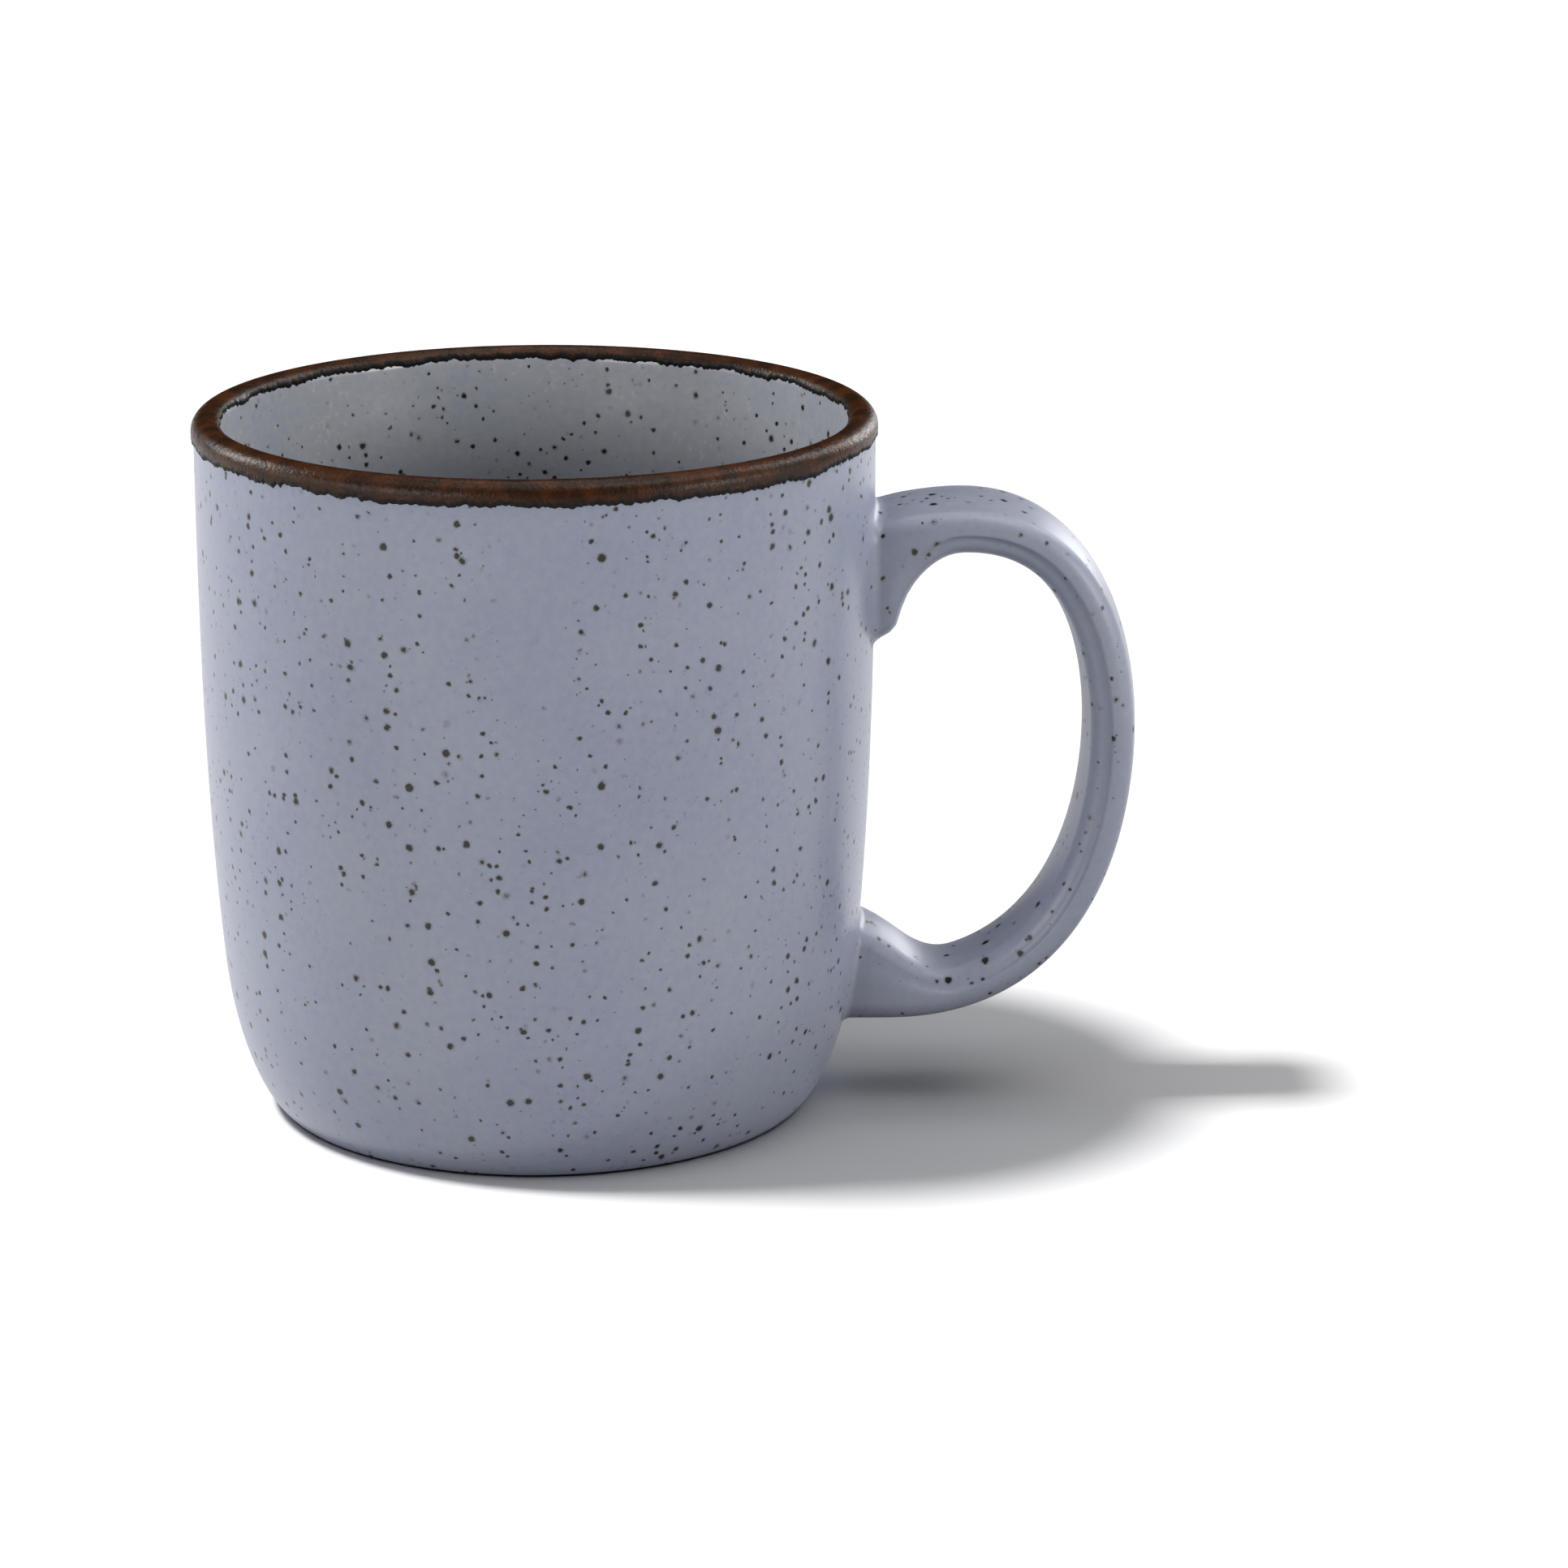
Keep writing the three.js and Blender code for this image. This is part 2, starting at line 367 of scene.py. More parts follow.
# how bright the camera and a reflection see the sheet, against what it really sends back
floor_greys = (("Is Camera Ray", 0.93), ("Is Glossy Ray", 0.9))
half = floor_size / 2
floor_corners = [(-half, -half, 0), (half, -half, 0), (half, half, 0), (-half, half, 0)]
floor_mesh = bpy.data.meshes.new("floor")
floor_mesh.from_pydata(floor_corners, [], [(0, 1, 2, 3)])
floor = new_object("floor", floor_mesh)


def new_material(name):
    material = bpy.data.materials.new(name)
    material.use_nodes = True
    tree = material.node_tree
    shader = next(n for n in tree.nodes if n.type == "BSDF_PRINCIPLED")
    return material, tree, shader


paper, paper_tree, paper_shader = new_material("pale_paper")
light_path = add(paper_tree, "ShaderNodeLightPath")
grey = floor_bounce
for ray, level in floor_greys:
    grey = plus(paper_tree, grey, times(paper_tree, light_path.outputs[ray], level - floor_bounce))
feed(paper_tree, paper_shader.inputs["Base Color"], joined(paper_tree, grey, grey, grey))
paper_shader.inputs["Roughness"].default_value = 1.0
paper_shader.inputs["Specular IOR Level"].default_value = 0.0
floor_mesh.materials.append(paper)
print(f"floor {floor_size:.0f} m square")

# %% The lights
soft_boxes = {
    # name: (degrees round from the camera's side, degrees up, metres away, width, height, watts)
    "low_front_left": (-35, 12, 1.3, 0.5, 0.4, 4.5),
    "low_left": (-60, 12, 1.3, 0.5, 0.4, 3.6),
    "low_side_left": (-90, 12, 1.3, 0.4, 0.4, 2.1),
    "back_left": (-120, 24, 1.3, 0.4, 0.5, 8.8),
    "low_right": (60, 12, 1.3, 0.5, 0.4, 7.0),
    "low_side_right": (90, 12, 1.3, 0.4, 0.4, 1.5),
    "low_back_right": (145, 12, 1.3, 0.4, 0.4, 4.0),
    "side_right": (120, 40, 1.3, 0.4, 0.6, 5.2),
    "high_left": (-60, 68, 1.3, 0.5, 0.6, 2.5),
    "high_right": (60, 68, 1.3, 0.6, 0.7, 5.6),
    "high_back": (180, 68, 1.3, 0.5, 0.6, 2.2),
    "floor_fill": (0, 90, 2.5, 4.0, 4.0, 48.0),
}
sun_strength = 2.9
sun_softness, sun_lift = math.radians(9), math.radians(65)
aim = Vector((axis_x, 0, 0.05))

# A light reaches only its receivers: the floor for the sheet's own lights, and everything
# except the floor for the rest.
on_floor = bpy.data.collections.new("lights_the_floor")
on_floor.objects.link(floor)
off_floor = bpy.data.collections.new("lights_all_but_the_floor")
off_floor.objects.link(floor)
off_floor.collection_objects[0].light_linking.link_state = "EXCLUDE"

for name, (round_by, up_by, away, width, height, watts) in soft_boxes.items():
    turn, lift = math.radians(round_by), math.radians(up_by)
    light = bpy.data.lights.new(name, "AREA")
    light.shape = "RECTANGLE"
    light.size, light.size_y = width, height
    light.energy = watts
    place = (math.sin(turn) * math.cos(lift), -math.cos(turn) * math.cos(lift), math.sin(lift))
    box = new_object(name, light)
    box.location = aim + Vector(place) * away
    box.rotation_euler = facing(-Vector(place))
    box.light_linking.receiver_collection = on_floor if name == "floor_fill" else off_floor

sun_light = bpy.data.lights.new("floor_key", "SUN")
sun_light.energy = sun_strength
sun_light.angle = sun_softness
sun = new_object("floor_key", sun_light)
sun.rotation_euler = facing(Vector((math.cos(sun_lift), 0, -math.sin(sun_lift))))
sun.light_linking.receiver_collection = on_floor

# The air beyond the floor is white to the camera and sends no light.
studio = bpy.data.worlds.new("studio")
bpy.context.scene.world = studio
studio.use_nodes = True
air = studio.node_tree.nodes["Background"]
air.inputs["Color"].default_value = (1.0, 1.0, 1.0, 1)
seen_air = add(studio.node_tree, "ShaderNodeLightPath").outputs["Is Camera Ray"]
feed(studio.node_tree, air.inputs["Strength"], seen_air)
print("studio:", ", ".join(soft_boxes))

# %% [markdown]
# ## The glaze's iron flecks
# Grains of iron in the clay melt through the glaze and leave dark spots with soft brown
# edges. They could be thousands of small discs, but they have no height of their own, so
# a pattern is enough. A Voronoi texture scatters points through space, and each fleck is
# a small ball round such a point, where the surface cuts it. Every point also has a
# random colour of its own, which decides how big its ball is and whether it shows at
# all. All the glazes use this group, each with its own values.

# %% The fleck group
fleck_group, g_in, g_out = new_tree(
    "iron_flecks",
    "ShaderNodeTree",
    {
        "Vector": "Vector",
        "Spacing": 2.7 * MM,
        "Smallest": 0.12 * MM,
        "Largest": 0.62 * MM,
        "Share Shown": 0.6,
        "Softness": 0.35,
        "Seed": 0.0,
    },
    {"Core": "Float", "Halo": "Float"},
)

# Bends and clumps are counted per millimetre. bend_reach and soft_rim are millimetres, and
# halo_reach is how many of a fleck's radii its halo covers. rarely_large is a power that
# keeps most flecks small.
bend_per_mm, bend_reach = 1.6, 0.42
clump_per_mm, clump_thinnest, clump_thickest = 0.06, 0.65, 1.35
rarely_large = 2.2
soft_rim, halo_reach = 0.05, 1.6


def fleck_nodes(t, g):
    # A fine noise bends the flecks out of round, and a broad one gathers them in clumps.
    bend = add(t, "ShaderNodeTexNoise", {"Vector": g["Vector"], "Scale": bend_per_mm / MM, "Detail": 1.0})
    bend = scaled(t, vec(t, "SUBTRACT", bend.outputs["Color"], (0.5, 0.5, 0.5)), bend_reach * MM)
    place = vec(t, "ADD", vec(t, "ADD", g["Vector"], bend), joined(t, g["Seed"], 0.0, 0.0))
    scale = calc(t, "DIVIDE", 1.0, g["Spacing"])
    grains = add(t, "ShaderNodeTexVoronoi", {"Vector": place, "Scale": scale, "Randomness": 1.0})
    away = times(t, grains.outputs["Distance"], g["Spacing"])
    luck = add(t, "ShaderNodeSeparateColor", {"Color": grains.outputs["Color"]})
    size = calc(t, "POWER", luck.outputs["Red"], rarely_large)
    radius = plus(t, g["Smallest"], times(t, size, minus(t, g["Largest"], g["Smallest"])))
    clumps = ramp(t, noise(t, place, clump_per_mm, 1.0), 0.35, 0.65, clump_thinnest, clump_thickest)
    shown = calc(t, "LESS_THAN", luck.outputs["Green"], times(t, g["Share Shown"], clumps))
    radius = times(t, radius, shown)
    inner = times(t, radius, minus(t, 1.0, g["Softness"]))
    core = ramp(t, away, inner, plus(t, radius, soft_rim * MM), 1.0, 0.0)
    halo = ramp(t, away, inner, plus(t, times(t, radius, halo_reach), soft_rim * MM), 1.0, 0.0)
    return times(t, core, shown), times(t, halo, shown)


core, halo = fleck_nodes(fleck_group, g_in.outputs)
feed(fleck_group, g_out.inputs["Core"], core)
feed(fleck_group, g_out.inputs["Halo"], halo)
print(f"{fleck_group.name}: {len(fleck_group.nodes)} nodes")

# %% [markdown]
# ## The glaze's cloud and its skin
# Fired glaze is never one flat colour. Where it lies thicker it is bluer, where it thins
# it is greyer, and it is mottled at the scale of a grain of sand. A second group mixes
# those clouds and also gives a height for the faint orange-peel of its surface.

# %% The mottle group
mottle_group, m_in, m_out = new_tree(
    "glaze_mottle",
    "ShaderNodeTree",
    {
        "Vector": "Vector",
        "Thick": "Color",
        "Thin": "Color",
        "Contrast": 0.5,
    },
    {"Color": "Color", "Cloud": "Float", "Height": "Float"},
)


# how many clouds there are along a millimetre
drift_per_mm, peel_per_mm, grain_per_mm, dust_per_mm = 0.045, 0.55, 0.9, 3.2
full_contrast = 6.0


def mottle_nodes(t, g):
    drift = noise(t, g["Vector"], drift_per_mm, 2.0)
    grain = noise(t, g["Vector"], grain_per_mm, 3.0)
    dust = noise(t, g["Vector"], dust_per_mm, 1.0)
    mixed = plus(t, times(t, drift, 0.45), times(t, grain, 0.4))
    mixed = plus(t, mixed, times(t, dust, 0.15))
    from_middle = times(t, minus(t, mixed, 0.5), times(t, g["Contrast"], full_contrast))
    share = calc(t, "ADD", 0.5, from_middle, clamped=True)
    peel = noise(t, g["Vector"], peel_per_mm, 1.0)
    peel = plus(t, times(t, peel, 0.7), times(t, grain, 0.3))
    return mixed_colour(t, share, g["Thick"], g["Thin"]), share, peel


for label, value in zip(("Color", "Cloud", "Height"), mottle_nodes(mottle_group, m_in.outputs)):
    feed(mottle_group, m_out.inputs[label], value)
print(f"{mottle_group.name}: {len(mottle_group.nodes)} nodes")

# %% [markdown]
# ## The glaze materials
# The outside, the handle and the underside share one satin blue-grey glaze, a little
# duller on the handle, and the inside has the same glaze greyer and glossier. One function
# makes them all: the mottle, and over it four layers of flecks, from faint grains that
# stayed below the surface to a few large ones that broke through.


# %% Glaze materials
def srgb(red, green, blue):
    """A colour as picked from a paint chart, turned into the linear values shaders use."""
    def linear(c):
        c /= 255
        return c / 12.92 if c <= 0.04045 else ((c + 0.055) / 1.055) ** 2.4

    return (linear(red), linear(green), linear(blue), 1)


def group_node(tree, group, **values):
    made = add(tree, "ShaderNodeGroup", node_tree=group)
    for label, value in values.items():
        feed(tree, made.inputs[label.replace("_", " ").title()], value)
    return made.outputs


def bumped(tree, shader, height, distance, strength=1.0):
    bump = add(tree, "ShaderNodeBump", {"Height": height, "Distance": distance, "Strength": strength})
    feed(tree, shader.inputs["Normal"], bump.outputs["Normal"])


iron_black = srgb(12, 9, 4)
iron_brown = srgb(90, 82, 56)
# spacing, smallest and largest radius in mm, share shown, softness, strength of halo and core
fleck_layers = (
    (1.9, 0.08, 0.25, 0.35, 0.8, 0.30, 0.25),
    (1.25, 0.08, 0.20, 0.22, 0.5, 0.40, 0.75),
    (1.5, 0.18, 0.38, 0.42, 0.3, 0.55, 1.0),
    (2.4, 0.30, 0.55, 0.42, 0.25, 0.55, 1.0),
)


dull_range = 0.08
layer_shift = 0.31
glaze_bump, glaze_bump_strength = 0.02, 0.6


def glaze_material(name, thick, thin, speckled, seed, dull=0.27):
    """speckled is how many flecks it has, as a multiple of the outer glaze's."""
    material, tree, shader = new_material(name)
    place = add(tree, "ShaderNodeTexCoord").outputs["Object"]
    body = group_node(tree, mottle_group, vector=place, thick=thick, thin=thin, contrast=0.5)
    colour = body["Color"]
    for i, (spacing, smallest, largest, share, softness, halo, core) in enumerate(fleck_layers):
        flecks = group_node(
            tree, fleck_group, vector=place, spacing=spacing * MM, smallest=smallest * MM,
            largest=largest * MM, share_shown=share * speckled, softness=softness,
            seed=seed + layer_shift * i,
        )
        colour = mixed_colour(tree, times(tree, flecks["Halo"], halo), colour, iron_brown)
        colour = mixed_colour(tree, times(tree, flecks["Core"], core), colour, iron_black)
    feed(tree, shader.inputs["Base Color"], colour)
    feed(tree, shader.inputs["Roughness"], ramp(tree, body["Cloud"], 0.0, 1.0, dull, dull + dull_range))
    bumped(tree, shader, body["Height"], glaze_bump * MM, glaze_bump_strength)
    return material


blue, pale_blue = srgb(142, 148, 171), srgb(158, 163, 177)
outer_glaze = glaze_material("satin_blue_grey", blue, pale_blue, 1.0, 0.0)
base_glaze = glaze_material("satin_blue_grey_base", blue, pale_blue, 0.7, 0.0)
blue, pale_blue = srgb(141, 147, 167), srgb(156, 160, 173)
handle_glaze = glaze_material("satin_blue_grey_handle", blue, pale_blue, 0.75, 0.0, dull=0.37)
grey, pale_grey = srgb(142, 145, 155), srgb(158, 160, 165)
inner_glaze = glaze_material("satin_grey_inside", grey, pale_grey, 1.0, 1.7, dull=0.2)
print("glazes:", outer_glaze.name, handle_glaze.name, inner_glaze.name)

# %% [markdown]
# ## Bare clay and slip
# The foot ring is left bare so that the mug doesn't stick to the kiln shelf. The clay
# there is a warm grey-brown, dry and rough, with dark grains of the same iron. The slip
# that joins the handle is the same clay let down with water, a little darker.


# %% Clay materials
def clay_material(name, pale, dark, seed):
    material, tree, shader = new_material(name)
    place = add(tree, "ShaderNodeTexCoord").outputs["Object"]
    body = group_node(tree, mottle_group, vector=place, thick=pale, thin=dark, contrast=0.7)
    grog = group_node(
        tree, fleck_group, vector=place, spacing=1.7 * MM, smallest=0.08 * MM, largest=0.4 * MM,
        share_shown=0.5, softness=0.3, seed=seed,
    )
    colour = mixed_colour(tree, times(tree, grog["Core"], 0.6), body["Color"], iron_brown)
    feed(tree, shader.inputs["Base Color"], colour)
    shader.inputs["Roughness"].default_value = 0.9
    bumped(tree, shader, body["Height"], 0.12 * MM)
    return material


bare_clay = clay_material("dry_stoneware", srgb(176, 160, 142), srgb(158, 141, 122), 3.1)
slip_clay = clay_material("dried_slip", srgb(158, 144, 130), srgb(140, 126, 111), 4.3)
print("clays:", bare_clay.name, slip_clay.name)

# %% [markdown]
# ## Iron glaze for the lip
# Iron glaze runs thin over the curve of the lip, where it fires a warm red-brown, and
# gathers at its lower edge, where it goes nearly black. The band's own tree, further
# down, stores how far each point is from the band's edge, so the material only has to
# turn that distance into colour. Fine bumps break the highlights into sparkles.

# %% Iron glaze material
iron_dark, iron_warm = srgb(42, 22, 8), srgb(72, 38, 15)
iron_speck, iron_edge = srgb(26, 17, 10), srgb(14, 12, 10)
edge_fray = 1.1
iron_bump, iron_bump_strength = 0.16, 0.8
iron_glaze, iron_tree, iron_shader = new_material("brown_iron_glaze")


def iron_nodes(t, shader):
    place = add(t, "ShaderNodeTexCoord").outputs["Object"]
    from_edge = add(t, "ShaderNodeAttribute", attribute_name="from_edge").outputs["Fac"]
    speckle = noise(t, place, 2.4, 3.0)
    fray = times(t, minus(t, noise(t, place, 1.5, 3.0), 0.5), edge_fray)
    ragged = plus(t, from_edge, fray)
    warm = mixed_colour(t, ramp(t, noise(t, place, 0.25, 2.0), 0.35, 0.7), iron_dark, iron_warm)
    warm = mixed_colour(t, ramp(t, speckle, 0.5, 0.72), warm, iron_speck)
    feed(t, shader.inputs["Base Color"], mixed_colour(t, ramp(t, ragged, 0.45, 0.95), iron_edge, warm))
    dull_edge = ramp(t, ragged, 0.3, 0.9, 0.3, 0.0)
    feed(t, shader.inputs["Roughness"], plus(t, dull_edge, ramp(t, speckle, 0.3, 0.7, 0.25, 0.45)))
    shader.inputs["Specular IOR Level"].default_value = 0.18
    height = plus(t, times(t, speckle, 0.6), times(t, noise(t, place, 0.8, 2.0), 0.4))
    bumped(t, shader, height, iron_bump * MM, iron_bump_strength)


iron_nodes(iron_tree, iron_shader)
print(f"{iron_glaze.name}: {len(iron_tree.nodes)} nodes")

# %% [markdown]
# ## Turning a piece
# Whatever comes off the wheel is an outline turned about the axis. Blender's Screw
# modifier or Spin would do it. Here a Geometry Nodes tree does: it makes a grid with one
# column for each step of the turn and one row for each point of the outline, and bends
# the grid round the axis. The seam and the poles close in one Merge by Distance, and the
# grid also gives a tidy map of the surface, half the turn above the other half.

# %% The turning tree
turn_tree, t_in, t_out = new_tree(
    "turned_on_the_wheel",
    "GeometryNodeTree",
    {
        "Geometry": "Geometry",
        "Segments": 256,
        "Axis X": 0.0,
        "Material": "Material",
    },
    {"Geometry": "Geometry"},
)


def stored(t, geometry, name, value, kind="FLOAT", domain="POINT"):
    made = add(t, "GeometryNodeStoreNamedAttribute", data_type=kind, domain=domain)
    feed(t, made.inputs["Geometry"], geometry)
    feed(t, made.inputs["Name"], name)
    feed(t, made.inputs["Value"], value)
    return made.outputs["Geometry"]


def read_back(t, name, kind="FLOAT"):
    made = add(t, "GeometryNodeInputNamedAttribute", {"Name": name}, data_type=kind)
    return made.outputs["Attribute"]


def sampled(t, geometry, value, index, kind="FLOAT_VECTOR"):
    made = add(t, "GeometryNodeSampleIndex", data_type=kind, domain="POINT")
    feed(t, made.inputs["Geometry"], geometry)
    feed(t, made.inputs["Value"], value)
    feed(t, made.inputs["Index"], index)
    return made.outputs["Value"]


def point_count(t, geometry):
    return add(t, "GeometryNodeAttributeDomainSize", {"Geometry": geometry}).outputs["Point Count"]


def grid_of(t, columns, rows):
    """A grid, and the column and row of each of its points."""
    grid = add(t, "GeometryNodeMeshGrid", {"Vertices X": columns, "Vertices Y": rows}).outputs["Mesh"]
    index = add(t, "GeometryNodeInputIndex").outputs[0]
    row = calc(t, "MODULO", index, rows)
    column = calc(t, "FLOOR", calc(t, "DIVIDE", plus(t, index, 0.5), rows))
    return grid, column, row


strip_margin, strip_gap = 0.01, 0.005


def two_strips(t, geometry, across, along):
    """Stores the map: across 0..0.5 fills the lower strip, 0.5..1 the upper one."""
    geometry = stored(t, geometry, "across", across)
    geometry = stored(t, geometry, "along", along)
    middle = add(t, "GeometryNodeFieldOnDomain", data_type="FLOAT", domain="FACE")
    feed(t, middle.inputs[0], read_back(t, "across"))
    upper = calc(t, "GREATER_THAN", middle.outputs[0], 0.5)
    u = minus(t, times(t, read_back(t, "across"), 2.0), upper)
    v = times(t, plus(t, read_back(t, "along"), upper), 0.5)
    u = plus(t, strip_margin, times(t, u, 1 - 2 * strip_margin))
    v = plus(t, strip_gap, times(t, v, 1 - 3 * strip_gap))
    return stored(t, geometry, "OFBake", joined(t, u, v, 0.0), "FLOAT2", "CORNER")


def swung(t, spot, angle, axis):
    """A point of an outline, swung round the upright axis."""
    flat = add(t, "ShaderNodeSeparateXYZ", {"Vector": spot}).outputs
    x = plus(t, times(t, flat["X"], calc(t, "COSINE", angle)), axis)
    y = times(t, flat["X"], calc(t, "SINE", angle))
    return joined(t, x, y, flat["Z"])


weld = 0.0005


def finished(t, geometry, position, material, out):
    """Moves the grid's points to their places and welds it into one painted mesh."""
    placed = add(t, "GeometryNodeSetPosition", {"Geometry": geometry, "Position": position})
    values = {"Geometry": placed.outputs[0], "Distance": weld * MM}
    merged = add(t, "GeometryNodeMergeByDistance", values)
    smooth = add(t, "GeometryNodeSetShadeSmooth", {"Geometry": merged.outputs[0]})
    real = add(t, "GeometryNodeRealizeInstances", {"Geometry": smooth.outputs[0]})
    painted = add(t, "GeometryNodeSetMaterial", {"Geometry": real.outputs[0], "Material": material})
    feed(t, out.inputs["Geometry"], painted.outputs[0])


def turning_nodes(t, g, out):
    rows = point_count(t, g["Geometry"])
    grid, column, row = grid_of(t, plus(t, g["Segments"], 1.0), rows)
    outline = sampled(t, g["Geometry"], add(t, "GeometryNodeInputPosition").outputs[0], row)
    along = sampled(t, g["Geometry"], read_back(t, "map_along"), row, "FLOAT")
    share = calc(t, "DIVIDE", column, g["Segments"])
    spot = swung(t, outline, times(t, share, math.tau), g["Axis X"])
    finished(t, two_strips(t, grid, share, along), spot, g["Material"], out)


turning_nodes(turn_tree, t_in.outputs, t_out)
print(f"{turn_tree.name}: {len(turn_tree.nodes)} nodes")


# %% Turning an outline
turn_segments = 288
shown_ends, hidden_starts = 0.96, 0.965


def lengths_along(points):
    made = [0.0]
    for before, after in zip(points, points[1:]):
        made.append(made[-1] + math.dist(before, after))
    return made


def turned(name, shown, hidden, material, node):
    """Turns an outline. shown is the part of it that is seen, and hidden goes back behind
    it. The map gives nearly all its room to what is seen."""
    lengths = lengths_along(shown)
    last_hidden = max(len(hidden) - 1, 1)
    along = [shown_ends * length / lengths[-1] for length in lengths]
    along += [blend(hidden_starts, 1.0, i / last_hidden) for i in range(len(hidden))]
    start = outline_object(name + "_outline", shown + hidden, map_along=along)
    piece = grown(name, start, turn_tree, segments=turn_segments, axis_x=axis_x, material=material)
    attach(piece, "root")
    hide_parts(node)
    return piece


# %% [markdown]
# ## The clay cup
# The whole cup in bare clay: recess, foot ring, wall, lip and inside. Almost all of it
# ends up under glaze, but the foot ring shows, and so does its round edge, because a
# potter wipes it with a sponge.

# %% Turn the clay
# The foot's section runs from the recess over the ring and a little way up the wall.
ring_inner = foot_radius - foot_ring_width
foot_edge_top = 0.35
wall_start = 0.7
foot_edge = [
    (ring_inner - 1.2, foot_recess_depth),
    (ring_inner - 0.3, foot_recess_depth - 0.25),
    (ring_inner + 0.05, foot_recess_depth - 0.8),
    (ring_inner + 0.35, 0.22),
    (ring_inner + 0.8, 0.0),
    (foot_radius - foot_round, 0.0),
    (foot_radius - 0.35 * foot_round, 0.1),
    (outer_radius(foot_edge_top) - 0.03, foot_edge_top),
]
clay_shown = [(0.0, foot_recess_depth)] + foot_edge + outside(wall_start, lip_centre_z)
clay_hidden = lip()[1:] + inside(lip_centre_z)[1:] + [(0.0, floor_z)]
turned("cup_clay", clay_shown, clay_hidden, bare_clay, "cup_body")

# %% [markdown]
# ## The coats of glaze
# Each coat is a closed skin: its face is the clay's outline moved off by the coat's
# thickness, and its back lies close against the clay. The outer coat ends above the foot
# in a small round bead, where molten glaze stopped, and both coats meet under the iron
# band on top of the lip.

# %% Turn the coats
def bead(points, near, far, count=6):
    """The round edge at the start of a coat, from its back to its face."""
    back, face = moved_off(points, near)[0], moved_off(points, far)[0]
    middle = ((back[0] + face[0]) / 2, (back[1] + face[1]) / 2)
    radius = math.dist(back, face) / 2
    start = math.atan2(back[1] - middle[1], back[0] - middle[0])
    turns = [start + math.pi / count * i for i in range(1, count)]
    return [(middle[0] + radius * math.cos(a), middle[1] + radius * math.sin(a)) for a in turns]


outer_line = outside(glaze_line, lip_centre_z) + lip(0, math.pi / 2, 12)[1:]
outer_face = bead(outer_line, glaze_clearance, coat) + moved_off(outer_line, coat)
outer_back = moved_off(outer_line, glaze_clearance)[::-1]
outer_back.append(outer_face[0])
outer_coat = turned(
    "outer_glaze_coat", outer_face, outer_back, outer_glaze, "outer_glaze"
)

inner_line = lip(math.pi / 2, math.pi, 12) + inside(lip_centre_z)[1:] + [(0.0, floor_z)]
inner_face = moved_off(inner_line, coat)
inner_face[-1] = (0.0, floor_z + coat)
inner_back = moved_off(inner_line, glaze_clearance)[::-1]
inner_back[0] = (0.0, floor_z + glaze_clearance)
inner_back.append(inner_face[0])
turned("inner_glaze_coat", inner_face, inner_back, inner_glaze, "inner_glaze")

base_margin = 1.5
base_radius = ring_inner - base_margin
base_low, base_high = foot_recess_depth - coat, foot_recess_depth - glaze_clearance
base_face = [
    (0.0, base_low),
    (base_radius - 0.4, base_low),
    (base_radius - 0.1, base_low + 0.1),
    (base_radius, base_high),
]
turned("base_glaze_coat", base_face, [(0.0, base_high)], base_glaze, "base_glaze")

# %% [markdown]
# ## The ragged iron band
# The band follows the lip, but both its edges are ragged, because the iron glaze crept
# into the one below it. A tree samples the lip's outline by length. Its first and last
# points along that length change with the angle, by a slow noise for the drips and a
# fast one for the frayed edge. The band swells to a thin lens and closes at both edges
# just under the surface of the coats, so that the frayed line is real geometry.

# %% The band's tree
# mm of outline kept spare at each edge, and mm over which the band swells to its height
band_spare, band_edge = 1.0, 0.5
drip_gain, fray_gain = 1.6, 1.9
band_tree, b_in, b_out = new_tree(
    "ragged_band",
    "GeometryNodeTree",
    {
        "Geometry": "Geometry",
        "Segments": 900,
        "Rows": 26,
        "Axis X": 0.0,
        "Radius": 43 * MM,
        "Drip": 0.5 * MM,
        "Fray": 0.3 * MM,
        "Stand Proud": 0.07 * MM,
        "Sunk": 0.03 * MM,
        "Depth": 0.3 * MM,
        "Seed": 0.0,
        "Material": "Material",
    },
    {"Geometry": "Geometry"},
)


